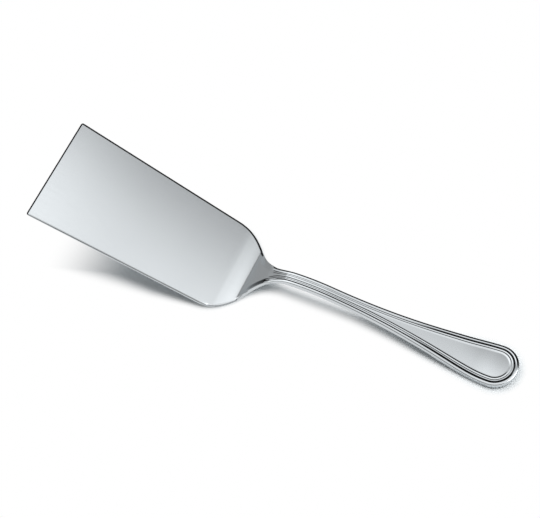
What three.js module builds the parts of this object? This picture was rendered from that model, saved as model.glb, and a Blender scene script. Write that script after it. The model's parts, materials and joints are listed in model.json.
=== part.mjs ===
// Lasagna spatula: a wide flat serving blade brazed to a cranked handle with a double-thread border.
// Millimetres, +Z up. +X runs from the blade's front edge to the tail of the handle, and Y runs across.
// The spatula stands as on a table, on the heel and the tail. The origin is on the table, under its middle.
// Every piece is drawn on the flat blank, where u runs along the centre line from the front edge, v runs
// across, and h is the height above the middle of the metal. The blank is then bent along the side profile.

import * as THREE from "three";
import { mergeVertices } from "three/addons/utils/BufferGeometryUtils.js";

const { degToRad, lerp, smoothstep, clamp } = THREE.MathUtils;

// Plan of the blade
const FRONT_WIDTH = 65.2;
const HEEL_WIDTH = 55.3;
const BLADE_LENGTH = 100;
const CORNER_RADIUS = 1.2;

// Plan of the neck: each reach says how far the curve holds its direction at that end
const NECK_LENGTH = 43.9;
const SHOULDER_REACH = 19.3;
const NECK_REACH = 25.3;

// Plan of the handle
const WAIST_WIDTH = 7.4;
const WAIST_LENGTH = 23.9;
const FLARE_LENGTH = 92.7;
const FLARE_REACH = 51.5;
const TAIL_REACH = 18;
const TAIL_WIDTH = 25.3;
const TAIL_LENGTH = 12.2;

// Side profile, as bends of the middle of the metal
const HEEL_SETBACK = 4.4;
const HEEL_RADIUS = 29.5;
const HEEL_TURN = degToRad(25);
const CREASE_RADIUS = 3;
const CREASE_TURN = degToRad(28.5);
const RAMP_RADIUS = 30;
const RAMP_TURN = degToRad(3);
const RAMP_LENGTH = 13.7;
const CREST_RADIUS = 27;
const CREST_TURN = degToRad(27.36);
const ARCH_RADIUS = 102;
const ARCH_TURN = degToRad(12.3);
const TAIL_RADIUS = 97;
const TAIL_TURN = degToRad(16);
const TAIL_STRAIGHT = 5.9;

// Thickness of the metal
const FRONT_THICKNESS = 1;
const HEEL_THICKNESS = 1.6;
const NECK_THICKNESS = 3.5;
const TAIL_THICKNESS = 3;
const SWELL_LENGTH = 15;

// Edges: from its inset the face falls by a power of the distance to a small round corner.
// The drop takes no more than its share of the metal, and underneath the rounding is slight.
const EDGE_INSET = 1.25;
const EDGE_FALL = 0.25;
const EDGE_POWER = 1.35;
const EDGE_CORNER = 0.3;
const EDGE_SHARE = 0.5;
const UNDER_DROP = 0.2;
const FRONT_BEVEL = 0.8;
const BEVEL_DROP = 0.4;
const BACK_CROWN = 0.4;

// Curled rim along both sides of the neck, where the edge gives up most of its fall
const RIM_RUN_IN = 6;
const RIM_WIDTH = 3.4;
const RIM_RISE = 0.38;
const RIM_POWER = 1.05;
const RIM_EDGE = 0.9;

// Threaded border of the handle: an outer bead, a cut groove, a middle bead, a fine line and an inner bead,
// round a sunk panel with a slight dome. A crest is given as a share of its bead's width.
const THREAD_SETBACK = 12.5;
const THREAD_RUN_IN = 4.5;
const OUTER_THREAD = 2.2;
const MIDDLE_THREAD = 1.4;
const INNER_THREAD = 1.6;
const LEAST_PANEL = 0.3;
const WAIST_SHARE = 0.86;
const INNER_SHARE = 0.7;
const MIDDLE_CREST = 0.53;
const INNER_CREST = 0.375;
const GROOVE_DEPTH = 0.22;
const WAIST_RISE = 0.03;
const TAIL_RISE = 0.19;
const WIDE_ROOM = 11;
const LINE_DEPTH = 0.08;
const LINE_RISE = 0.07;
const PANEL_STEP = 0.11;
const PANEL_DOME = 0.06;
const DOME_LENGTH = 25;

// Half-lap joint under the crease: the blade lies on a tongue of the handle, with brazing metal between
const LAP_LENGTH = 9;
const JOINT_GAP = 0.2;
const BRAZE_CLEARANCE = 0.03;
const BRAZE_INSET = 1.25;

// Spacing of the sections along the blank, closer where it bends or widens
const SHEET_STEP = 25;
const HEEL_STEP = 1.6;
const LAP_STEP = 0.9;
const CREASE_STEP = 0.35;
const NECK_STEP = 1;
const WAIST_STEP = 2.6;
const FLARE_STEP = 4.5;
const TAIL_STEP = degToRad(7.5);
const FALL_SHARES = [0, 0.5, 1];
const CORNER_SHARES = [0.5, 1];
const ROUNDING = [0, 30, 60, 90].map(degToRad);
const UNDER_ROUNDING = [90, 45, 0].map(degToRad);
const WELD = 1e-4;
const HALVINGS = 40;

// Places along the centre line that follow from the sizes
const waistStart = BLADE_LENGTH + NECK_LENGTH;
const waistEnd = waistStart + WAIST_LENGTH;
const tailStart = waistEnd + FLARE_LENGTH;
const blankLength = tailStart + TAIL_LENGTH;
const heelStart = BLADE_LENGTH + HEEL_SETBACK;
const creaseStart = heelStart + HEEL_RADIUS * HEEL_TURN;
const creaseEnd = creaseStart + CREASE_RADIUS * CREASE_TURN;
const seam = (creaseStart + creaseEnd) / 2;
const lapStart = seam - LAP_LENGTH;
const swellStart = creaseEnd + RAMP_LENGTH;
const swellEnd = swellStart + SWELL_LENGTH;
const threadStart = seam + THREAD_SETBACK;
const crestMiddle = swellStart + CREST_RADIUS * CREST_TURN / 2;

// Half of the blank's outline, from the front corner to the widest place of the tail
const plan = new THREE.Path();
plan.moveTo(0, FRONT_WIDTH / 2 - CORNER_RADIUS);
plan.absarc(CORNER_RADIUS, FRONT_WIDTH / 2 - CORNER_RADIUS, CORNER_RADIUS, Math.PI, Math.PI / 2, true);
plan.lineTo(BLADE_LENGTH, HEEL_WIDTH / 2);
const bladeTaper = (FRONT_WIDTH - HEEL_WIDTH) / 2 / (BLADE_LENGTH - CORNER_RADIUS);
plan.bezierCurveTo(
  BLADE_LENGTH + SHOULDER_REACH, HEEL_WIDTH / 2 - SHOULDER_REACH * bladeTaper,
  waistStart - NECK_REACH, WAIST_WIDTH / 2,
  waistStart, WAIST_WIDTH / 2,
);
plan.lineTo(waistEnd, WAIST_WIDTH / 2);
plan.bezierCurveTo(
  waistEnd + FLARE_REACH, WAIST_WIDTH / 2,
  tailStart - TAIL_REACH, TAIL_WIDTH / 2,
  tailStart, TAIL_WIDTH / 2,
);

// Half-width of the blank at u, found on the outline by halving
function halfWidth(u) {
  let before = 0;
  let after = 1;
  for (let step = 0; step < HALVINGS; step += 1) {
    const middle = (before + after) / 2;
    if (plan.getPoint(middle).x < u) before = middle;
    else after = middle;
  }
  return plan.getPoint(after).y;
}

// The straight and bent stretches of the side profile, in order
const bent = (radius, turn) => ({ length: radius * Math.abs(turn), turn });
const straight = (length) => ({ length, turn: 0 });
const front = [
  straight(heelStart),
  bent(HEEL_RADIUS, HEEL_TURN),
  bent(CREASE_RADIUS, CREASE_TURN),
  bent(RAMP_RADIUS, -RAMP_TURN),
  straight(RAMP_LENGTH - RAMP_RADIUS * RAMP_TURN),
  bent(CREST_RADIUS, -CREST_TURN),
  bent(ARCH_RADIUS, -ARCH_TURN),
];
const back = [bent(TAIL_RADIUS, TAIL_TURN), straight(TAIL_STRAIGHT)];
const bendsLength = [...front, ...back].reduce((sum, stretch) => sum + stretch.length, 0);
const stretches = [...front, straight(blankLength - bendsLength), ...back];

// Where the middle of the metal is at u, and how steeply it rises there
function centreLine(u) {
  let x = 0;
  let z = 0;
  let slope = 0;
  let left = u;
  for (const { length, turn } of stretches) {
    const run = Math.min(left, length);
    const turned = turn * run / length;
    const chord = turned === 0 ? run : 2 * (run / turned) * Math.sin(turned / 2);
    x += chord * Math.cos(slope + turned / 2);
    z += chord * Math.sin(slope + turned / 2);
    slope += turned;
    left -= run;
  }
  return { x, z, slope };
}

// A point of the blank after bending
function bend(u, v, h) {
  const { x, z, slope } = centreLine(u);
  return new THREE.Vector3(x - h * Math.sin(slope), v, z + h * Math.cos(slope));
}

// Thickness: the blade is rolled thinner to the front, and the neck swells from the top of its ramp
function thickness(u) {
  const blade = lerp(FRONT_THICKNESS, HEEL_THICKNESS, clamp(u / heelStart, 0, 1));
  const neck = lerp(blade, NECK_THICKNESS, smoothstep(u, swellStart, swellEnd));
  return lerp(neck, TAIL_THICKNESS, smoothstep(u, swellEnd, tailStart));
}

// How far the threads have run in at u, from 0 to 1
const threadShare = (u) => smoothstep(u, threadStart, threadStart + THREAD_RUN_IN);

// Turning places of the border as insets and heights, from the crest of the outer bead in to the panel.
// The border widens with the grip, its inner threads are drawn closer where the waist leaves them less room
// than they need, and its middle bead rises as the grip widens.
function border(room) {
  const grown = clamp((room - WAIST_WIDTH / 2) / (WIDE_ROOM - WAIST_WIDTH / 2), 0, 1);
  const outer = lerp(WAIST_SHARE, 1, grown);
  const groove = OUTER_THREAD * outer;
  const innerRoom = (room - LEAST_PANEL / 2 - groove) / (MIDDLE_THREAD + INNER_THREAD);
  const inner = Math.min(lerp(INNER_SHARE, 1, grown), innerRoom);
  const line = groove + MIDDLE_THREAD * inner;
  const insets = [
    EDGE_INSET * outer,
    groove,
    groove + MIDDLE_CREST * MIDDLE_THREAD * inner,
    line,
    line + INNER_CREST * INNER_THREAD * inner,
    line + INNER_THREAD * inner,
  ];
  const rise = lerp(WAIST_RISE, TAIL_RISE, grown);
  const steps = [0, -GROOVE_DEPTH * outer, rise, -LINE_DEPTH * inner, LINE_RISE * inner, -PANEL_STEP * inner];
  let height = 0;
  return insets.map((inset, at) => {
    height += steps[at];
    return { inset, height };
  });
}

// How far the rim has risen at u, from 0 to 1: it frames the neck between the shoulders and the threads
const rimShare = (u) => smoothstep(u, seam, seam + RIM_RUN_IN) * (1 - threadShare(u));
const rim = (u, d) => RIM_RISE * rimShare(u) * clamp(1 - d / RIM_WIDTH, 0, 1) ** RIM_POWER;

// Height of the plain upper face above the middle of the metal
const faceHeight = (u) => thickness(u) / 2 - BEVEL_DROP * clamp(1 - u / FRONT_BEVEL, 0, 1);

// Height of the struck face at a turning place of the border
const struckHeight = (u, { inset, height }) => faceHeight(u) + rim(u, inset) + height * threadShare(u);

// Height of the panel at the spine
function panelHeight(u, room) {
  const dome = PANEL_DOME * smoothstep(u, tailStart - DOME_LENGTH, tailStart);
  return struckHeight(u, border(room).at(-1)) + dome;
}

// A station is one place along the outline, with the direction in which insets are measured there
// and the room that the border has.
// Before the waist the inset runs straight across, so that the joint is square to the centre line.
function station(u) {
  const step = 0.01;
  const w = halfWidth(u);
  const grade = (halfWidth(u + step) - halfWidth(u - step)) / (2 * step);
  const size = u < BLADE_LENGTH ? 1 : Math.hypot(1, grade);
  const inward = u < waistEnd ? new THREE.Vector2(0, -size) : new THREE.Vector2(grade / size, -1 / size);
  return { u, w, inward, room: w, spine: u };
}

// A station on the rounded end of the tail, at an angle from the widest place to the tip
function tailStation(angle) {
  const w = TAIL_WIDTH / 2;
  const along = Math.sin(angle);
  const across = Math.cos(angle);
  const inward = new THREE.Vector2(-along / TAIL_LENGTH, -across / w).normalize();
  return { u: tailStart + TAIL_LENGTH * along, w: w * across, inward, room: w, spine: tailStart };
}

// The upper edge as pairs of inset and drop, from where its fall starts to the outline
function edge(u, inset) {
  const slope = Math.atan(EDGE_POWER * EDGE_FALL);
  const cornerInset = EDGE_CORNER * (1 - Math.sin(slope));
  const run = inset - cornerInset;
  const fall = FALL_SHARES.map((share) => [inset - run * share, EDGE_FALL * run * share ** EDGE_POWER]);
  const corner = CORNER_SHARES.map((share) => {
    const turn = lerp(slope, Math.PI / 2, share);
    return [
      EDGE_CORNER * (1 - Math.sin(turn)),
      EDGE_FALL * run + EDGE_CORNER * (Math.cos(slope) - Math.cos(turn)),
    ];
  });
  const whole = EDGE_FALL * run + EDGE_CORNER * Math.cos(slope);
  const most = EDGE_SHARE * (faceHeight(u) + thickness(u) / 2);
  const kept = Math.min(1, most / whole) * (1 - RIM_EDGE * rimShare(u));
  return [...fall, ...corner].map(([d, drop]) => [d, drop * kept]);
}

// Half of a cross-section as pairs of inset and height: from the innermost turning place over the border,
// round the edge, and back under as far as the rounding goes
function halfSection({ u, room }, turns) {
  const { inset } = border(room)[0];
  const section = turns.map((turn) => [turn.inset, struckHeight(u, turn)]);
  for (const [d, drop] of edge(u, inset)) {
    section.push([d, faceHeight(u) + rim(u, d) - drop]);
  }
  const under = BACK_CROWN * smoothstep(u, seam, crestMiddle) - thickness(u) / 2;
  for (const angle of UNDER_ROUNDING) {
    section.push([inset * (1 - Math.sin(angle)), under + UNDER_DROP * (1 - Math.cos(angle))]);
  }
  return section;
}

// A closed ring of points round the metal at one station, with heights held between a floor and a ceiling.
// The handle's ring follows the border, and the blade's is plain.
function ring(place, { struck = false, floor = -Infinity, ceiling = Infinity } = {}) {
  const { u, w, inward, room, spine } = place;
  const held = (h) => clamp(h, floor, ceiling);
  const turns = struck ? border(room).slice(1).reverse() : [];
  const side = halfSection(place, turns).map(([d, h]) => [u + d * inward.x, w + d * inward.y, held(h)]);
  const top = bend(spine, 0, held(struck ? panelHeight(spine, room) : faceHeight(spine)));
  const under = bend(spine, 0, held(-thickness(spine) / 2));
  const left = side.map(([along, across, h]) => bend(along, across, h));
  const right = side.map(([along, across, h]) => bend(along, -across, h)).reverse();
  return [top, ...left, under, ...right];
}

// A closed solid through rings of equal count. A cap is a fan from the middle point of its ring.
// The tail needs no cap, because its last ring has closed on itself.
function loft(rings, { capEnd = true } = {}) {
  const count = rings[0].length;
  const faces = [];
  for (let at = 0; at + 1 < rings.length; at += 1) {
    for (let point = 0; point < count; point += 1) {
      const next = (point + 1) % count;
      const here = at * count;
      const there = here + count;
      faces.push([here + point, there + point, here + next]);
      faces.push([here + next, there + point, there + next]);
    }
  }
  const hub = count / 2;
  const last = (rings.length - 1) * count;
  for (let step = 1; step + 1 < count; step += 1) {
    const [a, b] = [(hub + step) % count, (hub + step + 1) % count];
    faces.push([hub, a, b]);
    if (capEnd) faces.push([last + hub, last + b, last + a]);
  }
  const loose = new THREE.BufferGeometry().setFromPoints(rings.flat());
  loose.setIndex(faces.flat());
  const joined = mergeVertices(loose, WELD);
  const index = Array.from(joined.index.array);
  const kept = [];
  for (let at = 0; at < index.length; at += 3) {
    const [a, b, c] = index.slice(at, at + 3);
    if (a !== b && b !== c && c !== a) kept.push(a, b, c);
  }
  joined.setIndex(kept);
  joined.computeVertexNormals();
  return joined;
}

// Evenly spaced places from one u to another, both included
function spaced(from, to, step) {
  const count = Math.max(1, Math.ceil((to - from) / step));
  return Array.from({ length: count + 1 }, (_, index) => lerp(from, to, index / count));
}

// Places of the lap's sections, moved along by the given amount
const lapPlaces = (moved) => [
  ...spaced(lapStart + moved, creaseStart, LAP_STEP).slice(0, -1),
  ...spaced(creaseStart, seam + moved, CREASE_STEP),
];

// Blade: rolled sheet with a ground front edge, thinned from below at the heel where it lies on the tongue
function bladeGeometry() {
  const corner = ROUNDING.map((angle) => CORNER_RADIUS * (1 - Math.cos(angle)));
  const sheet = [...corner, FRONT_BEVEL, ...spaced(FRONT_BEVEL + CORNER_RADIUS, BLADE_LENGTH, SHEET_STEP)];
  const heel = spaced(BLADE_LENGTH, lapStart, HEEL_STEP);
  const full = [...sheet, ...heel].sort((a, b) => a - b).map((u) => ring(station(u)));
  const thinned = lapPlaces(0).map((u) => ring(station(u), { floor: JOINT_GAP / 2 }));
  return loft([...full, ...thinned]);
}

// Handle: struck bar, from the tongue under the blade through the neck and the waist to the rounded tail
function handleGeometry() {
  const tongue = lapPlaces(JOINT_GAP).map(station);
  const crease = spaced(seam + JOINT_GAP, creaseEnd, CREASE_STEP).map(station);
  const neck = spaced(creaseEnd, waistStart, NECK_STEP).slice(1).map(station);
  const waist = spaced(waistStart, waistEnd, WAIST_STEP).slice(1).map(station);
  const flare = spaced(waistEnd, tailStart, FLARE_STEP).slice(1, -1).map(station);
  const tail = spaced(0, Math.PI / 2, TAIL_STEP).map(tailStation);
  const lapped = tongue.map((place) => ring(place, { struck: true, ceiling: -JOINT_GAP / 2 }));
  const bar = [...crease, ...neck, ...waist, ...flare, ...tail].map((place) => ring(place, { struck: true }));
  return loft([...lapped, ...bar], { capEnd: false });
}

// Brazing metal: a thin layer between blade and tongue, with a leg up to the upper seam and one down to
// the lower
function brazeGeometry() {
  const half = JOINT_GAP / 2 - BRAZE_CLEARANCE;
  const slice = (u, low, high) => {
    const side = station(u).w - BRAZE_INSET * Math.abs(station(u).inward.y);
    return [bend(u, side, high), bend(u, side, low), bend(u, -side, low), bend(u, -side, high)];
  };
  const legs = [lapStart, seam].map((u) => [u + BRAZE_CLEARANCE, u + JOINT_GAP - BRAZE_CLEARANCE]);
  const [lower, upper] = legs;
  const layer = [
    ...spaced(lower[1], creaseStart, LAP_STEP).slice(0, -1),
    ...spaced(creaseStart, upper[0], CREASE_STEP),
  ];
  return loft([
    ...lower.map((u) => slice(u, -thickness(u) / 2, half)),
    ...layer.map((u) => slice(u, -half, half)),
    ...upper.map((u) => slice(u, -half, thickness(u) / 2)),
  ]);
}

// Polished stainless steel, and the slightly yellower brazing metal
const bladeSteel = new THREE.MeshStandardMaterial({ color: 0xc6cccd, roughness: 0.16, metalness: 1 });
const handleSteel = new THREE.MeshStandardMaterial({ color: 0xc2c8ca, roughness: 0.12, metalness: 1 });
const brazeSilver = new THREE.MeshStandardMaterial({ color: 0xb9b6a8, roughness: 0.3, metalness: 1 });

// Tilt at which the underside of the heel and that of the tail are level, found by halving
function restTilt() {
  const underside = spaced(0, blankLength, 0.5).map((u) => [u, bend(u, 0, -thickness(u) / 2)]);
  const lowest = (tilt, wanted) => {
    const heights = underside
      .filter(([u]) => wanted(u))
      .map(([, point]) => point.z * Math.cos(tilt) - point.x * Math.sin(tilt));
    return Math.min(...heights);
  };
  let small = 0;
  let large = Math.PI / 3;
  for (let step = 0; step < HALVINGS; step += 1) {
    const tilt = (small + large) / 2;
    const heel = lowest(tilt, (u) => u < crestMiddle);
    const tail = lowest(tilt, (u) => u > crestMiddle);
    if (heel < tail) small = tilt;
    else large = tilt;
  }
  return small;
}

// The pieces in the blank's own frame, tilted to their rest, then set on the table with the middle over
// the origin
const pieces = {
  blade: [bladeGeometry(), bladeSteel],
  handle: [handleGeometry(), handleSteel],
  braze_layer: [brazeGeometry(), brazeSilver],
};
const cranked = new THREE.Group();
for (const [name, [geometry, material]] of Object.entries(pieces)) {
  const mesh = new THREE.Mesh(geometry, material);
  mesh.name = name;
  cranked.add(mesh);
}
cranked.rotation.y = restTilt();
const box = new THREE.Box3().setFromObject(cranked, true);
const middle = box.getCenter(new THREE.Vector3());
cranked.position.set(-middle.x, -middle.y, -box.min.z);

const spatula = new THREE.Group();
spatula.add(cranked);
spatula.updateMatrixWorld(true);

export default spatula;
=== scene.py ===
import json
import math
from types import SimpleNamespace

import bpy
import numpy as np
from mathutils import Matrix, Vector


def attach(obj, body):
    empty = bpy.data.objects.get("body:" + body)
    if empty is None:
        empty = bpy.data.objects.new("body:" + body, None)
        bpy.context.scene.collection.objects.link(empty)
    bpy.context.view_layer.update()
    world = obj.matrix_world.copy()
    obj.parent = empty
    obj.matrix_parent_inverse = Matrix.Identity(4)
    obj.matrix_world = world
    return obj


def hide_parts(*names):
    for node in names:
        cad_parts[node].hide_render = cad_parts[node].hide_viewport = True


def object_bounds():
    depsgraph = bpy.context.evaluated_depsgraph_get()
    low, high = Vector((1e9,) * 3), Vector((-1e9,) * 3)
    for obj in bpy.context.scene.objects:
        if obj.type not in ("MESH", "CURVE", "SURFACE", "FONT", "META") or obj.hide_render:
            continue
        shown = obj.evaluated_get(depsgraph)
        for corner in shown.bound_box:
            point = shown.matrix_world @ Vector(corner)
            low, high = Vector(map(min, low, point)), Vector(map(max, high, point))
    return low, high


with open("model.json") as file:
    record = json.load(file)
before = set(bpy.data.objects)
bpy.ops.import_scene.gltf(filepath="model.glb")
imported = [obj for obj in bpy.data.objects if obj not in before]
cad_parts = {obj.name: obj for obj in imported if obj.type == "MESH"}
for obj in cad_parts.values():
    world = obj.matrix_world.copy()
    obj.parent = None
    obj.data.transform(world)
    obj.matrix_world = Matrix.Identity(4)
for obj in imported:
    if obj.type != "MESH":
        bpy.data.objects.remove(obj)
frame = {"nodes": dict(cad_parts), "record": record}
cad_low, cad_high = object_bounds()
scene = bpy.context.scene
scene.view_settings.view_transform = "Standard"


# Blade
# A wide sheet of stainless steel, rolled thinner to the front and ground to a bevel along its front edge.
# It is drawn on the flat blank, where u runs along the centre line, v across and h up from the middle of the
# metal, and is then bent. At the heel it is thinned from below, and lies brazed on the handle's tongue.

FRONT_WIDTH = 0.0652
HEEL_WIDTH = 0.0553
BLADE_LENGTH = 0.1
CORNER_RADIUS = 0.0012
FRONT_THICKNESS = 0.001
HEEL_THICKNESS = 0.0016
EDGE_INSET = 0.00125
EDGE_FALL = 0.25
EDGE_POWER = 1.35
EDGE_CORNER = 0.0003
EDGE_SHARE = 0.5
UNDER_DROP = 0.0002
FRONT_BEVEL = 0.0008
BEVEL_DROP = 0.0004
GUARD = 0.00004

# The neck is cut from the same blank, and carries the bends that crank the handle up from the blade.
NECK_LENGTH = 0.0439
SHOULDER_REACH = 0.0193
NECK_REACH = 0.0253
WAIST_WIDTH = 0.0074
WAIST_LENGTH = 0.0239
FLARE_LENGTH = 0.0927
FLARE_REACH = 0.0515
TAIL_REACH = 0.018
TAIL_WIDTH = 0.0253
TAIL_LENGTH = 0.0122
HEEL_SETBACK = 0.0044
HEEL_RADIUS = 0.0295
HEEL_TURN = math.radians(25)
CREASE_RADIUS = 0.003
CREASE_TURN = math.radians(28.5)
RAMP_RADIUS = 0.03
RAMP_TURN = math.radians(3)
RAMP_LENGTH = 0.0137
CREST_RADIUS = 0.027
CREST_TURN = math.radians(27.36)
ARCH_RADIUS = 0.102
ARCH_TURN = math.radians(12.3)
TAIL_RADIUS = 0.097
TAIL_TURN = math.radians(16)
TAIL_STRAIGHT = 0.0059
NECK_THICKNESS = 0.0035
TAIL_THICKNESS = 0.003
SWELL_LENGTH = 0.015
BACK_CROWN = 0.0004
LAP_LENGTH = 0.009
JOINT_GAP = 0.0002

waist_start = BLADE_LENGTH + NECK_LENGTH
waist_end = waist_start + WAIST_LENGTH
tail_start = waist_end + FLARE_LENGTH
blank_length = tail_start + TAIL_LENGTH
heel_start = BLADE_LENGTH + HEEL_SETBACK
crease_start = heel_start + HEEL_RADIUS * HEEL_TURN
crease_end = crease_start + CREASE_RADIUS * CREASE_TURN
seam = (crease_start + crease_end) / 2
lap_start = seam - LAP_LENGTH
swell_start = crease_end + RAMP_LENGTH
swell_end = swell_start + SWELL_LENGTH
crest_middle = swell_start + CREST_RADIUS * CREST_TURN / 2


def lerp(start, end, share):
    """The value that lies the given share of the way from start to end."""
    return start + (end - start) * share


def smoothstep(value, start, end):
    """Rises from 0 at start to 1 at end, as three squares less two cubes of the share."""
    share = np.clip((value - start) / (end - start), 0, 1)
    return share * share * (3 - 2 * share)


def bezier(first, second, third, last, count=1500):
    """Points of a cubic curve: four corners weighted by the powers of the share and of what is left of it."""
    share = np.linspace(0, 1, count)[:, None]
    left = 1 - share
    corners = [np.array(corner) for corner in (first, second, third, last)]
    weights = [left**3, 3 * share * left**2, 3 * share**2 * left, share**3]
    return sum(weight * corner for weight, corner in zip(weights, corners))


CORNER_POINTS = 60

corner_turn = np.linspace(0, math.pi / 2, CORNER_POINTS)
corner = np.stack([
    CORNER_RADIUS * (1 - np.cos(corner_turn)),
    FRONT_WIDTH / 2 - CORNER_RADIUS * (1 - np.sin(corner_turn)),
], axis=1)
blade_taper = (FRONT_WIDTH - HEEL_WIDTH) / 2 / (BLADE_LENGTH - CORNER_RADIUS)
shoulder = bezier(
    (BLADE_LENGTH, HEEL_WIDTH / 2),
    (BLADE_LENGTH + SHOULDER_REACH, HEEL_WIDTH / 2 - SHOULDER_REACH * blade_taper),
    (waist_start - NECK_REACH, WAIST_WIDTH / 2),
    (waist_start, WAIST_WIDTH / 2),
)
flare = bezier(
    (waist_end, WAIST_WIDTH / 2),
    (waist_end + FLARE_REACH, WAIST_WIDTH / 2),
    (tail_start - TAIL_REACH, TAIL_WIDTH / 2),
    (tail_start, TAIL_WIDTH / 2),
)
outline = np.concatenate([corner, shoulder, flare])


def half_width(u):
    """Half of the blank's width at u, read off the outline's points."""
    return np.interp(u, outline[:, 0], outline[:, 1])


bends = [
    (heel_start, 0),
    (HEEL_RADIUS * HEEL_TURN, HEEL_TURN),
    (CREASE_RADIUS * CREASE_TURN, CREASE_TURN),
    (RAMP_RADIUS * RAMP_TURN, -RAMP_TURN),
    (RAMP_LENGTH - RAMP_RADIUS * RAMP_TURN, 0),
    (CREST_RADIUS * CREST_TURN, -CREST_TURN),
    (ARCH_RADIUS * ARCH_TURN, -ARCH_TURN),
]
tail_bends = [(TAIL_RADIUS * TAIL_TURN, TAIL_TURN), (TAIL_STRAIGHT, 0)]
grip_length = blank_length - sum(length for length, _ in bends + tail_bends)
stretches = bends + [(grip_length, 0)] + tail_bends


def centre_line(u):
    """Place and slope of the middle of the metal at u: each stretch turns evenly and adds its own chord."""
    x = np.zeros_like(u)
    z = np.zeros_like(u)
    slope = np.zeros_like(u)
    left = np.array(u)
    for length, turn in stretches:
        run = np.clip(left, 0, length)
        turned = turn * run / length
        chord = run * np.sinc(turned / 2 / math.pi)
        x = x + chord * np.cos(slope + turned / 2)
        z = z + chord * np.sin(slope + turned / 2)
        slope = slope + turned
        left = left - run
    return x, z, slope


def thickness(u):
    """Thickness of the metal: a straight taper along the blade, then eased over the crest and to the tail."""
    blade_metal = lerp(FRONT_THICKNESS, HEEL_THICKNESS, np.clip(u / heel_start, 0, 1))
    neck_metal = lerp(blade_metal, NECK_THICKNESS, smoothstep(u, swell_start, swell_end))
    return lerp(neck_metal, TAIL_THICKNESS, smoothstep(u, swell_end, tail_start))


def bevel(u):
    """How far the bevel ground along the front edge has cut down the upper face."""
    return BEVEL_DROP * np.clip(1 - u / FRONT_BEVEL, 0, 1)


top_mount = next(mount for mount in frame["record"]["mounts"] if mount["name"] == "blade_top")
top_axis = top_mount["axis"]
taper_angle = math.atan((HEEL_THICKNESS - FRONT_THICKNESS) / 2 / heel_start)
rest_tilt = math.atan2(top_axis[0], top_axis[2]) + taper_angle


def bend(u, v, h):
    """A point of the blank after bending and tilting: h is laid off square to the middle line, and the
    whole is turned about the cross axis by the tilt at which the spatula stands."""
    x, z, slope = centre_line(u)
    x = x - h * np.sin(slope)
    z = z + h * np.cos(slope)
    turned_x = x * math.cos(rest_tilt) + z * math.sin(rest_tilt)
    turned_z = z * math.cos(rest_tilt) - x * math.sin(rest_tilt)
    return np.stack(np.broadcast_arrays(turned_x, v, turned_z), axis=-1)


UNDER_POINTS = 4000

under_u = np.linspace(0, blank_length, UNDER_POINTS)
under_line = bend(under_u, 0, -thickness(under_u) / 2)
resting_place = np.array([cad_low.x - under_line[0, 0], 0, -under_line[:, 2].min()])


def places_at(u):
    """Places along the outline, each with the direction in which insets are measured. Before the waist's
    end an inset runs straight across, lengthened by the grade of the outline, and after it square to it."""
    step = 1e-5
    w = half_width(u)
    grade = (half_width(u + step) - half_width(u - step)) / (2 * step)
    size = np.where(u < BLADE_LENGTH, 1, np.hypot(1, grade))
    inward_u = np.where(u < waist_end, 0, grade / size)
    inward_v = np.where(u < waist_end, -size, -1 / size)
    return SimpleNamespace(u=u, w=w, inward_u=inward_u, inward_v=inward_v, room=w, spine=u)


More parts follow.
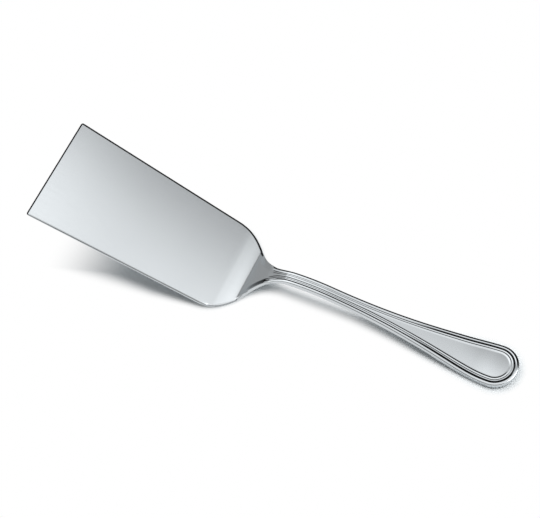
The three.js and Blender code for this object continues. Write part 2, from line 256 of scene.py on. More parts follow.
def half_section(place, inset, insets, upper, painted_shade, floor, ceiling, kept=1, dome=0):
    """Half of the section at every place, from the top of the spine over the upper face, down the rounded
    edge and the side, and back under to the spine. The edge falls by a power of the distance to a small
    round corner, takes no more than its share of the metal, and keeps the given share of its fall. The
    middle of the upper face is domed, and the underside crowned, by the square of the distance from the
    spine. Returns u, v, h, the length run round, and how far the colour is painted dark as painted shade."""
    spine_steps = 14
    edge_steps = 10
    corner_steps = 6
    under_steps = 7
    u = place.u[:, None]
    under = -thickness(u) / 2
    crown = BACK_CROWN * smoothstep(u, seam, crest_middle)
    corner_slope = math.atan(EDGE_POWER * EDGE_FALL)
    corner_inset = EDGE_CORNER * (1 - math.sin(corner_slope))
    fall_share = np.linspace(0, 1, edge_steps)[None, :]
    fall_d = lerp(inset, corner_inset, fall_share) + 0 * u
    fall_drop = EDGE_FALL * (inset - corner_inset) * fall_share**EDGE_POWER + 0 * u
    corner_turn = np.linspace(corner_slope, math.pi / 2, corner_steps + 1)[None, 1:]
    corner_d = EDGE_CORNER * (1 - np.sin(corner_turn)) + 0 * u
    corner_drop = fall_drop[:, -1:] + EDGE_CORNER * (math.cos(corner_slope) - np.cos(corner_turn))
    edge_d = np.concatenate([fall_d, corner_d], axis=1)
    edge_drop = np.concatenate([fall_drop, corner_drop], axis=1)
    most_drop = EDGE_SHARE * (thickness(u) - bevel(u))
    edge_drop = edge_drop * np.minimum(1, most_drop / edge_drop[:, -1:]) * kept
    edge_h = upper(place, inset) + upper(place, edge_d, rim_only=True) - upper(place, inset, rim_only=True)
    edge_h = edge_h - edge_drop
    back_turn = np.linspace(math.pi / 2, 0, under_steps)[None, :]
    back_d = inset * (1 - np.sin(back_turn)) + 0 * u
    back_h = under + crown + UNDER_DROP * (1 - np.cos(back_turn))
    wall_h = lerp(edge_h[:, -1:], back_h[:, :1], np.array([[1 / 3, 2 / 3]]))
    d = np.concatenate([insets, edge_d, np.zeros_like(wall_h), back_d], axis=1)
    h = np.concatenate([upper(place, insets), edge_h, wall_h, back_h], axis=1)
    along = place.u[:, None] + d * place.inward_u[:, None]
    across = place.w[:, None] + d * place.inward_v[:, None]
    share = np.linspace(0, 1, spine_steps + 1)[None, :]
    spine = place.spine[:, None]
    top_along = lerp(spine, along[:, :1], share[:, :-1])
    top_across = across[:, :1] * share[:, :-1]
    top_h = upper(place, insets[:, :1]) + dome * (1 - share[:, :-1] ** 2)
    low_along = lerp(along[:, -1:], spine, share[:, 1:])
    low_across = across[:, -1:] * (1 - share[:, 1:])
    low_h = under + crown * (1 - share[:, 1:]) ** 2
    along = np.concatenate([top_along, along, low_along], axis=1)
    across = np.concatenate([top_across, across, low_across], axis=1)
    h = np.clip(np.concatenate([top_h, h, low_h], axis=1), floor, ceiling)
    step = np.hypot(np.diff(across, axis=1), np.diff(h, axis=1))
    run = np.concatenate([np.zeros_like(spine), np.cumsum(step, axis=1)], axis=1)
    inward = np.concatenate([lerp(place.room[:, None], insets[:, :1], share[:, :-1]), d], axis=1)
    dark = np.concatenate([painted_shade(place, inward), np.zeros_like(low_h)], axis=1)
    return along, across, h, run, dark


def rings_of(half):
    """Whole sections from half ones: the half, and its mirror image across the spine run backwards."""
    along, across, h, run, dark = half
    back = slice(-2, 0, -1)
    left = bend(along, across, h)
    right = bend(along[:, back], -across[:, back], h[:, back])
    points = np.concatenate([left, right], axis=1) + resting_place
    flat = np.stack([along, run], axis=-1)
    flat_back = np.stack([along[:, back], -run[:, back]], axis=-1)
    return points, np.concatenate([flat, flat_back], axis=1), np.concatenate([dark, dark[:, back]], axis=1)


SHARP_ANGLE = math.radians(38)
WELD = 1e-7


def skin(name, points, flat, dark, capped_end):
    """A closed skin over rings of points: each four neighbours make two triangles, like points are welded,
    triangles that fold to a line go, and a ring that does not close on itself is capped by one face."""
    rows, columns = points.shape[:2]
    index = np.arange(rows * columns).reshape(rows, columns)
    around = np.roll(index, -1, axis=1)
    a, b, c, d = (part.ravel() for part in (index[:-1], index[1:], around[1:], around[:-1]))
    triangles = np.concatenate([np.stack([a, b, d], axis=1), np.stack([d, b, c], axis=1)])
    spots = points.reshape(-1, 3)
    keys = np.round(spots / WELD).astype(np.int64)
    _, first, welded = np.unique(keys, axis=0, return_index=True, return_inverse=True)
    welded = welded.ravel()
    corners = welded[triangles]
    open_ones = (corners != np.roll(corners, 1, axis=1)).all(axis=1)
    corners = corners[open_ones]
    loops = triangles[open_ones].ravel()
    rims = [index[0]] + ([index[-1][::-1]] if capped_end else [])
    caps = [rim[np.sort(np.unique(welded[rim], return_index=True)[1])] for rim in rims]
    mesh = bpy.data.meshes.new(name)
    mesh.from_pydata(spots[first], [], corners.tolist() + [welded[cap].tolist() for cap in caps])
    layer = mesh.uv_layers.new(name="blank")
    layer.data.foreach_set("uv", flat.reshape(-1, 2)[np.concatenate([loops, *caps])].ravel())
    # Each point keeps how far its colour is painted dark, as painted shade and dark reflection.
    mesh.attributes.new("painted_shade", "FLOAT", "POINT").data.foreach_set("value", dark.ravel()[first])
    mesh.shade_smooth()
    mesh.set_sharp_from_angle(angle=SHARP_ANGLE)
    piece = bpy.data.objects.new(name, mesh)
    scene.collection.objects.link(piece)
    return piece


def blade_top(place, d, rim_only=False):
    """Height of the blade's upper face: half the metal, less the bevel ground along the front edge."""
    if rim_only:
        return 0 * d
    u = place.u[:, None]
    return thickness(u) / 2 - bevel(u) + 0 * d


def painted_bevel_shade(place, d):
    """Painted shade: the colour is painted near black on the ground bevel along the front edge, as a painted
    dark reflection, and plain behind it.
    """
    return smoothstep(-place.u[:, None], -FRONT_BEVEL - GUARD, -FRONT_BEVEL + GUARD) + 0 * d


def spaced(start, end, step):
    """Even places from start to end, both included, no further apart than the step."""
    return np.linspace(start, end, max(2, math.ceil((end - start) / step) + 1))


BLADE_GUARDS = np.array([[0.006, 0.002, 0.0006, 0.0002, 0.00006]])
SHEET_STEP = 0.003
BEND_STEP = 0.0004
CREASE_STEP = 0.00008
CORNER_STEPS = 14

corner_u = CORNER_RADIUS * (1 - np.cos(np.linspace(0, math.pi / 2, CORNER_STEPS)))
bevel_u = np.array([FRONT_BEVEL - GUARD, FRONT_BEVEL, FRONT_BEVEL + GUARD])
sheet_u = spaced(2 * FRONT_BEVEL, heel_start, SHEET_STEP)
heel_u = spaced(heel_start, lap_start, BEND_STEP)
full_u = np.unique(np.concatenate([corner_u, bevel_u, sheet_u, heel_u]))
lap_u = np.concatenate([
    spaced(lap_start, crease_start, BEND_STEP),
    spaced(crease_start, seam, CREASE_STEP)[1:],
])

full_places = places_at(full_u)
lap_places = places_at(lap_u)
# The front bevel is given painted shade, a painted dark reflection along the front edge.
blade_halves = [
    half_section(
        place, EDGE_INSET, EDGE_INSET + BLADE_GUARDS + 0 * place.u[:, None], blade_top, painted_bevel_shade,
        floor, math.inf,
    )
    for place, floor in ((full_places, -math.inf), (lap_places, JOINT_GAP / 2))
]
blade_half = [np.concatenate(parts) for parts in zip(*blade_halves)]
blade = skin("blade", *rings_of(blade_half), capped_end=True)


# The near black colour painted into the front bevel and the cut groove: painted shade and dark reflection.
PAINTED_SHADE_TONE = (0.02, 0.021, 0.023, 1)
CLOUDS_PER_METRE = 30
NOISE_LOW = 0.3
NOISE_HIGH = 0.7


def polished_steel(name, bright, dull, least_rough, most_rough, line_length, line_width, line_depth):
    """Bare stainless steel. Fine polishing lines run along the piece in the flat of its blank and vary the
    roughness and the surface a little, slow clouds vary the tone between a bright and a dull grey, and its
    colour is painted near black where the points are marked, as painted shade and painted dark reflection
    on the ground bevel of the front edge and in the cut groove."""
    material = bpy.data.materials.new(name)
    material.use_nodes = True
    nodes = material.node_tree.nodes
    links = material.node_tree.links
    shader = nodes["Principled BSDF"]
    shader.inputs["Metallic"].default_value = 1
    flat = nodes.new("ShaderNodeUVMap")
    flat.uv_map = "blank"
    stretch = nodes.new("ShaderNodeMapping")
    stretch.inputs["Scale"].default_value = (1 / line_length, 1 / line_width, 1)
    lines = nodes.new("ShaderNodeTexNoise")
    lines.noise_dimensions = "2D"
    lines.inputs["Scale"].default_value = 1
    lines.inputs["Detail"].default_value = 3
    rough = nodes.new("ShaderNodeMapRange")
    rough.inputs["From Min"].default_value = NOISE_LOW
    rough.inputs["From Max"].default_value = NOISE_HIGH
    rough.inputs["To Min"].default_value = least_rough
    rough.inputs["To Max"].default_value = most_rough
    links.new(flat.outputs["UV"], stretch.inputs["Vector"])
    links.new(stretch.outputs["Vector"], lines.inputs["Vector"])
    links.new(lines.outputs["Fac"], rough.inputs["Value"])
    links.new(rough.outputs["Result"], shader.inputs["Roughness"])
    relief = nodes.new("ShaderNodeBump")
    relief.inputs["Strength"].default_value = 1
    relief.inputs["Distance"].default_value = line_depth
    links.new(lines.outputs["Fac"], relief.inputs["Height"])
    links.new(relief.outputs["Normal"], shader.inputs["Normal"])
    place = nodes.new("ShaderNodeTexCoord")
    clouds = nodes.new("ShaderNodeTexNoise")
    clouds.inputs["Scale"].default_value = CLOUDS_PER_METRE
    clouds.inputs["Detail"].default_value = 4
    tone = nodes.new("ShaderNodeMix")
    tone.data_type = "RGBA"
    tone.inputs["A"].default_value = (*dull, 1)
    tone.inputs["B"].default_value = (*bright, 1)
    links.new(place.outputs["Object"], clouds.inputs["Vector"])
    links.new(clouds.outputs["Fac"], tone.inputs["Factor"])
    # Painted shade: the colour is mixed toward near black where the points are marked.
    painted_shade = nodes.new("ShaderNodeAttribute")
    painted_shade.attribute_name = "painted_shade"
    painted_shade_mix = nodes.new("ShaderNodeMix")
    painted_shade_mix.data_type = "RGBA"
    painted_shade_mix.inputs["B"].default_value = PAINTED_SHADE_TONE
    links.new(painted_shade.outputs["Fac"], painted_shade_mix.inputs["Factor"])
    links.new(tone.outputs["Result"], painted_shade_mix.inputs["A"])
    links.new(painted_shade_mix.outputs["Result"], shader.inputs["Base Color"])
    return material


satin_steel = polished_steel(
    "satin_polished_steel",
    bright=(0.625, 0.655, 0.675),
    dull=(0.595, 0.625, 0.645),
    least_rough=0.10,
    most_rough=0.18,
    line_length=0.012,
    line_width=0.00012,
    line_depth=1e-7,
)
blade.data.materials.append(satin_steel)
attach(blade, "root")
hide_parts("blade")


# Handle
# A struck bar of stainless steel. A tongue under the blade runs up through the fan of the neck, which has a
# raised rim on both sides, into a narrow waist, and flares to a rounded tail. The dies also leave a border:
# an outer bead, a cut groove, a middle bead, a fine line and an inner bead, round a sunk panel.

RIM_RUN_IN = 0.006
RIM_WIDTH = 0.0034
RIM_RISE = 0.00038
RIM_POWER = 1.05
RIM_EDGE = 0.9
THREAD_SETBACK = 0.0125
THREAD_RUN_IN = 0.0045
OUTER_THREAD = 0.0022
MIDDLE_THREAD = 0.0014
INNER_THREAD = 0.0016
LEAST_PANEL = 0.0003
WAIST_SHARE = 0.86
INNER_SHARE = 0.7
WIDE_ROOM = 0.011
MIDDLE_CREST = 0.53
INNER_CREST = 0.375
GROOVE_DEPTH = 0.00022
WAIST_RISE = 0.00003
TAIL_RISE = 0.00019
LINE_DEPTH = 0.00008
LINE_RISE = 0.00007
PANEL_STEP = 0.00011
PANEL_DOME = 0.00006
DOME_LENGTH = 0.025
BEAD_POWER = 1.25
# The painted shade in the cut groove: its half width, where it fades, and the grip widths over which it comes
# in.
GROOVE_SHADE_HALF = 0.00053
GROOVE_SHADE_EDGE = 0.00036
GROOVE_SHADE_NARROW = 0.0054
GROOVE_SHADE_WIDE = 0.0082
NECK_STEP = 0.0003
WAIST_STEP = 0.0006
FLARE_STEP = 0.0011
TAIL_STEPS = 64

thread_start = seam + THREAD_SETBACK


def border(room):
    """Insets and heights of the border's turning places, from the crest of the outer bead to the panel. It
    widens with the grip, its inner threads are drawn closer where the waist leaves them less room than they
    need, and its middle bead rises as the grip widens."""
    grown = np.clip((room - WAIST_WIDTH / 2) / (WIDE_ROOM - WAIST_WIDTH / 2), 0, 1)
    outer = lerp(WAIST_SHARE, 1, grown)
    groove = OUTER_THREAD * outer
    inner_room = room - LEAST_PANEL / 2 - groove
    inner = np.minimum(lerp(INNER_SHARE, 1, grown), inner_room / (MIDDLE_THREAD + INNER_THREAD))
    line = groove + MIDDLE_THREAD * inner
    insets = [
        EDGE_INSET * outer,
        groove,
        groove + MIDDLE_CREST * MIDDLE_THREAD * inner,
        line,
        line + INNER_CREST * INNER_THREAD * inner,
        line + INNER_THREAD * inner,
    ]
    rise = lerp(WAIST_RISE, TAIL_RISE, grown)
    steps = [0, -GROOVE_DEPTH * outer, rise, -LINE_DEPTH * inner, LINE_RISE * inner, -PANEL_STEP * inner]
    return insets, np.cumsum([step + 0 * room for step in steps], axis=0)


def thread_share(u):
    """How far the threads have run in at u, from 0 to 1."""
    return smoothstep(u, thread_start, thread_start + THREAD_RUN_IN)


def rim_share(u):
    """How far the curled rim has risen at u, from 0 to 1: it frames the neck as far as the threads."""
    return smoothstep(u, seam, seam + RIM_RUN_IN) * (1 - thread_share(u))


def handle_top(place, d, rim_only=False):
    """Height of the handle's upper face: half the metal, plus the rim of the neck, plus the border. Each
    bead falls from its crest by a power of the distance a little over one, and the last one eases into the
    panel."""
    u = place.u[:, None]
    rim = RIM_RISE * rim_share(u) * np.clip(1 - d / RIM_WIDTH, 0, 1) ** RIM_POWER
    if rim_only:
        return rim
    insets, heights = border(place.room[:, None])
    threads = 0 * d
    for crest, valley in ((0, 1), (2, 1), (2, 3), (4, 3)):
        away = np.clip((d - insets[crest]) / (insets[valley] - insets[crest]), 0, 1)
        bead = heights[crest] - (heights[crest] - heights[valley]) * away**BEAD_POWER
        inside = (d - insets[crest]) * (d - insets[valley]) <= 0
        threads = np.where(inside, bead, threads)
    panel = lerp(heights[4], heights[5], smoothstep(d, insets[4], insets[5]))
    threads = np.where(d > insets[4], panel, threads)
    return thickness(u) / 2 + rim + threads * thread_share(u)


def painted_groove_shade(place, d):
    """Painted shade: the colour at the bottom of the cut groove is painted near black where the grip is wide,
    standing in for the shade and dark reflection of the recess. It ends softly on both flanks."""
    room = place.room[:, None]
    insets, _ = border(room)
    groove_shade = smoothstep(-np.abs(d - insets[1]), -GROOVE_SHADE_HALF, -GROOVE_SHADE_EDGE)
    return groove_shade * smoothstep(room, GROOVE_SHADE_NARROW, GROOVE_SHADE_WIDE) * thread_share(place.u[:, None])


def thread_insets(place, counts=(10, 8, 5, 4, 10)):
    """Insets from the panel's edge to the crest of the outer bead, spaced evenly between turning places."""
    insets, _ = border(place.room[:, None])
    zones = zip(insets[:0:-1], insets[-2::-1], reversed(counts))
    return np.concatenate([
        lerp(start, end, np.linspace(0, 1, count, endpoint=False)[None, :]) for start, end, count in zones
    ], axis=1)


def tail_places(turn):
    """Places round the tail, a quarter of an ellipse from its widest place to the tip. Insets run square to
    the outline, and every section ends at the same point of the spine."""
    along = np.sin(turn)
    across = np.cos(turn)
    half_tail = TAIL_WIDTH / 2
    inward_u = -along / TAIL_LENGTH
    inward_v = -across / half_tail
    size = np.hypot(inward_u, inward_v)
    same = np.ones_like(turn)
    return SimpleNamespace(
        u=tail_start + TAIL_LENGTH * along,
        w=half_tail * np.where(turn < math.pi / 2, across, 0),
        inward_u=inward_u / size,
        inward_v=np.where(turn < math.pi / 2, inward_v / size, 0),
        room=half_tail * same,
        spine=tail_start * same,
    )


tongue_u = spaced(lap_start + JOINT_GAP, seam + JOINT_GAP, BEND_STEP)
bar_u = np.concatenate([
    spaced(seam + JOINT_GAP, crease_end, CREASE_STEP),
    spaced(crease_end, waist_start, NECK_STEP)[1:],
    spaced(waist_start, waist_end, WAIST_STEP)[1:],
    spaced(waist_end, tail_start, FLARE_STEP)[1:-1],
])
tail_turn = np.linspace(0, math.pi / 2, TAIL_STEPS)
handle_halves = []
for place, ceiling in (
    (places_at(tongue_u), -JOINT_GAP / 2), (places_at(bar_u), math.inf), (tail_places(tail_turn), math.inf),
):
    edge = border(place.room[:, None])[0][0]
    dome = PANEL_DOME * smoothstep(place.u, tail_start - DOME_LENGTH, tail_start)[:, None]
    handle_halves.append(half_section(
        place, edge, thread_insets(place), handle_top, painted_groove_shade, -math.inf, ceiling,
        1 - RIM_EDGE * rim_share(place.u[:, None]), dome,
    ))
handle_half = [np.concatenate(parts) for parts in zip(*handle_halves)]
handle = skin("handle", *rings_of(handle_half), capped_end=False)
handle.data.materials.append(polished_steel(
    "mirror_polished_steel",
    bright=(0.597, 0.626, 0.645),
    dull=(0.563, 0.592, 0.611),
    least_rough=0.05,
    most_rough=0.10,
    line_length=0.008,
    line_width=0.0001,
    line_depth=5e-8,
))
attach(handle, "root")
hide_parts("handle")


# Braze
# A thin layer of silver solder drawn into the lap between blade and tongue. It shows only as a hairline
# across the neck where it was polished flush, and as another under the heel.

BRAZE_DARK = (0.10, 0.10, 0.095, 1)
BRAZE_LIGHT = (0.18, 0.178, 0.165, 1)
BRAZE_GRAINS_PER_METRE = 2500
BRAZE_LEAST_ROUGH = 0.2
BRAZE_MOST_ROUGH = 0.45

braze_silver = bpy.data.materials.new("flushed_silver_solder")
braze_silver.use_nodes = True
braze_nodes = braze_silver.node_tree.nodes
braze_links = braze_silver.node_tree.links
braze_shader = braze_nodes["Principled BSDF"]
braze_shader.inputs["Metallic"].default_value = 1
braze_place = braze_nodes.new("ShaderNodeTexCoord")
braze_grain = braze_nodes.new("ShaderNodeTexNoise")
braze_grain.inputs["Scale"].default_value = BRAZE_GRAINS_PER_METRE
braze_tone = braze_nodes.new("ShaderNodeMix")
braze_tone.data_type = "RGBA"
braze_tone.inputs["A"].default_value = BRAZE_DARK
braze_tone.inputs["B"].default_value = BRAZE_LIGHT
braze_rough = braze_nodes.new("ShaderNodeMapRange")
braze_rough.inputs["To Min"].default_value = BRAZE_LEAST_ROUGH
braze_rough.inputs["To Max"].default_value = BRAZE_MOST_ROUGH
braze_links.new(braze_place.outputs["Object"], braze_grain.inputs["Vector"])
braze_links.new(braze_grain.outputs["Fac"], braze_tone.inputs["Factor"])
braze_links.new(braze_tone.outputs["Result"], braze_shader.inputs["Base Color"])
braze_links.new(braze_grain.outputs["Fac"], braze_rough.inputs["Value"])
braze_links.new(braze_rough.outputs["Result"], braze_shader.inputs["Roughness"])
braze_layer = frame["nodes"]["braze_layer"]
braze_layer.data.materials.clear()
braze_layer.data.materials.append(braze_silver)


# Table
# A wide white paper sweep under the spatula. Under it and close to it the paper is lit by the lamp and keeps
# the shadow, and further out, and under the tip, it passes into plain white for what looks at or mirrors it.
# The fades are given as places along the spatula, with the distance past its outline.

FAR_PAPER = np.array([0.25, 0.4, 1, 4])
PAPER = (0.91, 0.95, 0.968, 1)
PAPER_STEP = 0.001
NEAR_LENGTH = 0.16
NEAR_WIDTH = 0.06
fade_starts = [
    (-0.09, -0.006), (-0.062, -0.0024), (-0.04, -0.0018), (-0.02, -0.0018), (0, -0.0052), (0.04, -0.0053),
    (0.08, -0.0008), (0.11, 0.0004),
]
fade_ends = [
    (-0.09, 0.006), (-0.062, 0.005), (-0.04, 0.0029), (-0.02, 0.0026), (0, 0.0028), (0.04, 0.0032),
    (0.08, 0.0042), (0.11, 0.0047),
]
TIP_FADE_START = -0.077
TIP_FADE_END = -0.123

plan_x = (bend(outline[:, 0], 0, 0) + resting_place)[:, 0]
near_x = np.arange(-NEAR_LENGTH, NEAR_LENGTH, PAPER_STEP)
near_y = np.arange(-NEAR_WIDTH, NEAR_WIDTH, PAPER_STEP)
paper_x = np.concatenate([-FAR_PAPER[::-1], near_x, FAR_PAPER])
paper_y = np.concatenate([-FAR_PAPER[::-1], near_y, FAR_PAPER])
grid_x, grid_y = np.meshgrid(paper_x, paper_y)
past_side = np.abs(grid_y) - np.interp(grid_x, plan_x, outline[:, 1])
past_tail = np.hypot((grid_x - plan_x[-1]) / TAIL_LENGTH, grid_y / (TAIL_WIDTH / 2)) - 1
past_front = np.maximum(past_side, plan_x[0] - grid_x)
past_piece = np.where(grid_x > plan_x[-1], TAIL_LENGTH * past_tail, past_front)
fade_start = np.interp(grid_x, *zip(*fade_starts))
fade_end = np.interp(grid_x, *zip(*fade_ends))
tip_white = smoothstep(-grid_x, -TIP_FADE_START, -TIP_FADE_END)
paper_white = np.maximum(smoothstep(past_piece, fade_start, fade_end), tip_white)
paper_points = np.stack([grid_x, grid_y, 0 * grid_x], axis=-1).reshape(-1, 3)
paper_index = np.arange(grid_x.size).reshape(grid_x.shape)
paper_faces = np.stack([
    paper_index[:-1, :-1], paper_index[:-1, 1:], paper_index[1:, 1:], paper_index[1:, :-1],
], axis=-1).reshape(-1, 4)
table_mesh = bpy.data.meshes.new("table")
table_mesh.from_pydata(paper_points, [], paper_faces.tolist())
table_mesh.attributes.new("plain_white", "FLOAT", "POINT").data.foreach_set("value", paper_white.ravel())
table = bpy.data.objects.new("table", table_mesh)
scene.collection.objects.link(table)
paper = bpy.data.materials.new("white_paper")
paper.use_nodes = True
paper_nodes = paper.node_tree.nodes
paper_links = paper.node_tree.links
paper_nodes.clear()
paper_fade = paper_nodes.new("ShaderNodeAttribute")
paper_fade.attribute_name = "plain_white"
ray = paper_nodes.new("ShaderNodeLightPath")
seen_or_mirrored = paper_nodes.new("ShaderNodeMath")
seen_or_mirrored.operation = "MAXIMUM"
seen_through = paper_nodes.new("ShaderNodeMath")
seen_through.operation = "MAXIMUM"
paper_share = paper_nodes.new("ShaderNodeMath")
paper_share.operation = "MULTIPLY"
lit_paper = paper_nodes.new("ShaderNodeBsdfDiffuse")
lit_paper.inputs["Color"].default_value = PAPER
plain_white = paper_nodes.new("ShaderNodeEmission")
paper_mix = paper_nodes.new("ShaderNodeMixShader")
paper_out = paper_nodes.new("ShaderNodeOutputMaterial")
paper_links.new(ray.outputs["Is Camera Ray"], seen_or_mirrored.inputs[0])
paper_links.new(ray.outputs["Is Glossy Ray"], seen_or_mirrored.inputs[1])
paper_links.new(seen_or_mirrored.outputs[0], seen_through.inputs[0])
paper_links.new(ray.outputs["Is Transmission Ray"], seen_through.inputs[1])
paper_links.new(seen_through.outputs[0], paper_share.inputs[0])
paper_links.new(paper_fade.outputs["Fac"], paper_share.inputs[1])
paper_links.new(paper_share.outputs[0], paper_mix.inputs["Fac"])
paper_links.new(lit_paper.outputs[0], paper_mix.inputs[1])
paper_links.new(plain_white.outputs[0], paper_mix.inputs[2])
paper_links.new(paper_mix.outputs[0], paper_out.inputs["Surface"])
table_mesh.materials.append(paper)


# Lamp
# One wide softbox hangs over the spatula. It is bright overhead and falls off to the back, which grades the
# blade from near white at the near edge to grey along the far one. Its left end is a little brighter, and its
# right end, much brighter, lights the paper. Levels run from front to back, and gains from left to right.

LAMP_HEIGHT = 0.5
LAMP_LEFT = -0.45
LAMP_RIGHT = 0.60
LAMP_FRONT = -0.10
LAMP_BACK = 0.40
LAMP_BRIGHT = 1.3
lamp_levels = [
    (-0.10, 0.6), (-0.06, 0.6), (-0.01, 1.2), (0.18, 1.25), (0.24, 1.30), (0.262, 1.25), (0.285, 1.12),
    (0.30, 0.98), (0.317, 0.80), (0.334, 0.69), (0.345, 0.60), (0.40, 0.4),
]
SIDE_BRIGHT = 5
lamp_sides = [
    (-0.45, 1.35), (-0.25, 1.35), (-0.12, 1.18), (-0.05, 1.08), (0, 1.08), (0.06, 0.93), (0.22, 1), (0.26, 5),
    (0.60, 5),
]


def set_stops(ramp, stops):
    """Gives a new ramp its stops, in order, as pairs of place and grey."""
    ramp.elements[0].position = stops[0][0]
    ramp.elements[1].position = stops[-1][0]
    for at, _ in stops[1:-1]:
        ramp.elements.new(at)
    for stop, (_, grey) in zip(ramp.elements, stops):
        stop.color = (grey, grey, grey, 1)


lamp_mesh = bpy.data.meshes.new("softbox")
lamp_mesh.from_pydata(
    [
        (LAMP_LEFT, LAMP_FRONT, LAMP_HEIGHT),
        (LAMP_LEFT, LAMP_BACK, LAMP_HEIGHT),
        (LAMP_RIGHT, LAMP_BACK, LAMP_HEIGHT),
        (LAMP_RIGHT, LAMP_FRONT, LAMP_HEIGHT),
    ],
    [],
    [(0, 1, 2, 3)],
)
lamp = bpy.data.objects.new("softbox", lamp_mesh)
scene.collection.objects.link(lamp)
lamp.visible_camera = False
glow = bpy.data.materials.new("softbox_cloth")
glow.use_nodes = True
glow_nodes = glow.node_tree.nodes
glow_links = glow.node_tree.links
glow_nodes.clear()
glow_place = glow_nodes.new("ShaderNodeTexCoord")
glow_axes = glow_nodes.new("ShaderNodeSeparateXYZ")
glow_back = glow_nodes.new("ShaderNodeMapRange")
glow_back.inputs["From Min"].default_value = LAMP_FRONT
glow_back.inputs["From Max"].default_value = LAMP_BACK
glow_fall = glow_nodes.new("ShaderNodeValToRGB")
set_stops(glow_fall.color_ramp, [
    ((at - LAMP_FRONT) / (LAMP_BACK - LAMP_FRONT), light / LAMP_BRIGHT) for at, light in lamp_levels
])
glow_side = glow_nodes.new("ShaderNodeMapRange")
glow_side.inputs["From Min"].default_value = LAMP_LEFT
glow_side.inputs["From Max"].default_value = LAMP_RIGHT
glow_gain = glow_nodes.new("ShaderNodeValToRGB")
set_stops(glow_gain.color_ramp, [
    ((at - LAMP_LEFT) / (LAMP_RIGHT - LAMP_LEFT), gain / SIDE_BRIGHT) for at, gain in lamp_sides
])
glow_tone = glow_nodes.new("ShaderNodeMix")
glow_tone.data_type = "RGBA"
glow_tone.blend_type = "MULTIPLY"
glow_tone.inputs["Factor"].default_value = 1
glow_light = glow_nodes.new("ShaderNodeEmission")
glow_light.inputs["Strength"].default_value = LAMP_BRIGHT * SIDE_BRIGHT
glow_out = glow_nodes.new("ShaderNodeOutputMaterial")
glow_links.new(glow_place.outputs["Object"], glow_axes.inputs[0])
glow_links.new(glow_axes.outputs["Y"], glow_back.inputs["Value"])
glow_links.new(glow_axes.outputs["X"], glow_side.inputs["Value"])
glow_links.new(glow_back.outputs["Result"], glow_fall.inputs["Fac"])
glow_links.new(glow_side.outputs["Result"], glow_gain.inputs["Fac"])
glow_links.new(glow_fall.outputs["Color"], glow_tone.inputs["A"])
glow_links.new(glow_gain.outputs["Color"], glow_tone.inputs["B"])
glow_links.new(glow_tone.outputs["Result"], glow_light.inputs["Color"])
glow_links.new(glow_light.outputs[0], glow_out.inputs["Surface"])
lamp_mesh.materials.append(glow)


# Room
# The studio round the table: dark on the right, grey in front, a white strip on the left, dark at the
# horizon, and a black cloth behind, which starts at a share of the way to straight back. The bearing is 0 in
# front, plus 90 degrees on the left and 180 behind.

ROOM_BRIGHT = 1.5
CLOTH_TONE = (0.0133, 0.0133, 0.0133, 1)
CLOTH_START = 0.555
CLOTH_END = 0.595
room_bearings = [
    (-180, 0.02), (-140, 0.02), (-90, 0.08), (-60, 0.12), (0, 0.20), (45, 0.30), (65, 0.4), (84, 1.5),
    (104, 1.5), (109, 0.78), (121, 0.88), (150, 0.88), (165, 0.02), (180, 0.02),
]
room_heights = [(0.05, 0.02), (0.12, 0.5), (0.38, 0.62), (0.7, 1)]

room = bpy.data.worlds.new("studio")
scene.world = room
room.use_nodes = True
room_nodes = room.node_tree.nodes
room_links = room.node_tree.links
room_way = room_nodes.new("ShaderNodeTexCoord")
room_turn = room_nodes.new("ShaderNodeMapping")
room_turn.inputs["Scale"].default_value = (-1, -1, 1)
room_axes = room_nodes.new("ShaderNodeSeparateXYZ")
room_bearing = room_nodes.new("ShaderNodeMath")
room_bearing.operation = "ARCTAN2"
room_round = room_nodes.new("ShaderNodeMapRange")
room_round.inputs["From Min"].default_value = -math.pi
room_round.inputs["From Max"].default_value = math.pi
room_side = room_nodes.new("ShaderNodeValToRGB")
set_stops(room_side.color_ramp, [((at + 180) / 360, light / ROOM_BRIGHT) for at, light in room_bearings])
room_rise = room_nodes.new("ShaderNodeValToRGB")
set_stops(room_rise.color_ramp, room_heights)
room_light = room_nodes.new("ShaderNodeMix")
room_light.data_type = "RGBA"
room_light.blend_type = "MULTIPLY"
room_light.inputs["Factor"].default_value = 1
room_front = room_nodes.new("ShaderNodeMapRange")
room_front.inputs["From Min"].default_value = -CLOTH_END
room_front.inputs["From Max"].default_value = -CLOTH_START
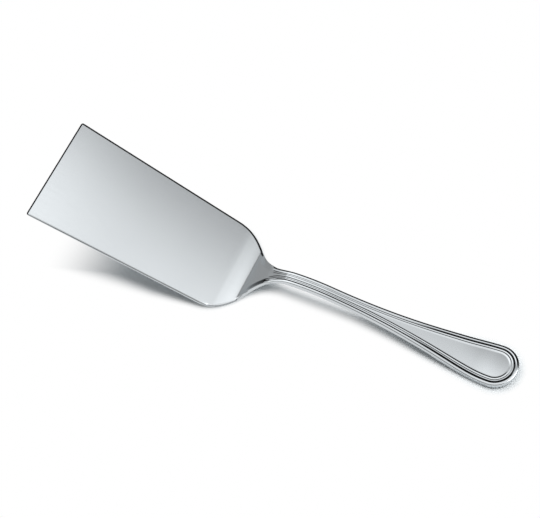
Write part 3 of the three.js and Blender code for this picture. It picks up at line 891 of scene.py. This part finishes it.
room_cloth = room_nodes.new("ShaderNodeMix")
room_cloth.data_type = "RGBA"
room_cloth.inputs["A"].default_value = CLOTH_TONE
room_links.new(room_way.outputs["Generated"], room_turn.inputs["Vector"])
room_links.new(room_turn.outputs["Vector"], room_axes.inputs[0])
room_links.new(room_axes.outputs["X"], room_bearing.inputs[0])
room_links.new(room_axes.outputs["Y"], room_bearing.inputs[1])
room_links.new(room_bearing.outputs[0], room_round.inputs["Value"])
room_links.new(room_round.outputs["Result"], room_side.inputs["Fac"])
room_links.new(room_axes.outputs["Z"], room_rise.inputs["Fac"])
room_links.new(room_side.outputs["Color"], room_light.inputs["A"])
room_links.new(room_rise.outputs["Color"], room_light.inputs["B"])
room_links.new(room_axes.outputs["Y"], room_front.inputs["Value"])
room_links.new(room_front.outputs["Result"], room_cloth.inputs["Factor"])
room_links.new(room_light.outputs["Result"], room_cloth.inputs["B"])
room_links.new(room_cloth.outputs["Result"], room_nodes["Background"].inputs["Color"])
room_nodes["Background"].inputs["Strength"].default_value = ROOM_BRIGHT


# Camera
# It looks down on the table from the front right, through a long lens, and has the whole spatula in view.
# Its lens is worked out from the focal length in pixels of the picture.

AIM = Vector((-0.0139, 0.01485, 0))
CAMERA_DISTANCE = 1.22
CAMERA_TURN = math.radians(23.879)
CAMERA_RISE = math.radians(56.12)
SENSOR = 36
IMAGE_WIDTH = 540
FOCAL_PIXELS = 2293.8

camera_data = bpy.data.cameras.new("camera")
camera_data.sensor_width = SENSOR
camera_data.lens = FOCAL_PIXELS * SENSOR / IMAGE_WIDTH
camera = bpy.data.objects.new("camera", camera_data)
scene.collection.objects.link(camera)
back_way = Vector((
    math.sin(CAMERA_TURN) * math.cos(CAMERA_RISE),
    -math.cos(CAMERA_TURN) * math.cos(CAMERA_RISE),
    math.sin(CAMERA_RISE),
))
camera.location = AIM + CAMERA_DISTANCE * back_way
camera.rotation_mode = "QUATERNION"
camera.rotation_quaternion = (-back_way).to_track_quat("-Z", "Y")
scene.camera = camera
